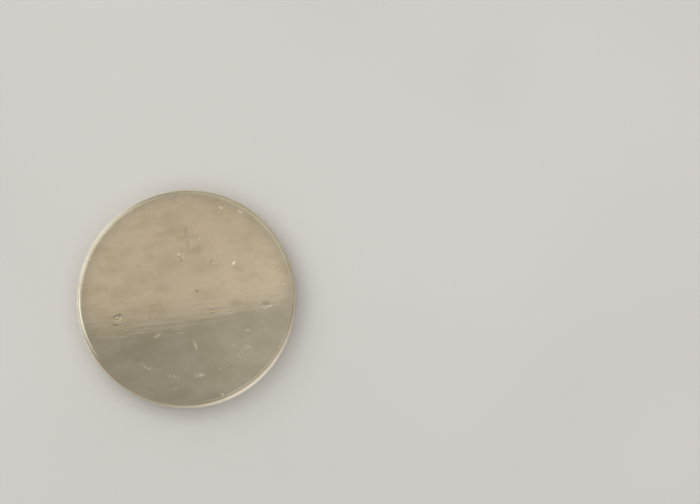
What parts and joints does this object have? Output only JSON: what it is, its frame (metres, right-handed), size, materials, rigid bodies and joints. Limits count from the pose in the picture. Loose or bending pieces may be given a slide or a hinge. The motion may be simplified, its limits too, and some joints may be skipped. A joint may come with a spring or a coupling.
{
  "type": "lithium coin cell",
  "caption": "Round primary coin cell: a crimped steel can with a flat positive face, a plastic gasket and a stepped steel cap with the negative face.",
  "frame": {"origin": "centre of the negative contact face, on the surface that the cell lies on", "axes": "+Z along the cell's axis, from the negative face to the positive face; the cell is round, so X and Y are free, and the picture's upright direction is +Y"},
  "size_m": [0.016, 0.016, 0.002],
  "materials": {
    "can_steel": "satin, nickel plated, with a warm tone, fine scuffs and small dents",
    "gasket_polypropylene": "matt moulded",
    "cap_steel": "satin",
    "grid_steel": "bright rolled",
    "cathode_mix": "matt pressed powder",
    "separator_fleece": "matt non-woven",
    "lithium_foil": "dull silvery foil"
  },
  "bodies": {
    "root": {"positive_can": "can_steel", "insulating_gasket": "gasket_polypropylene", "negative_cap": "cap_steel", "collector_grid": "grid_steel", "cathode_pellet": "cathode_mix", "separator": "separator_fleece", "lithium_disc": "lithium_foil"}
  },
  "joints": []
}
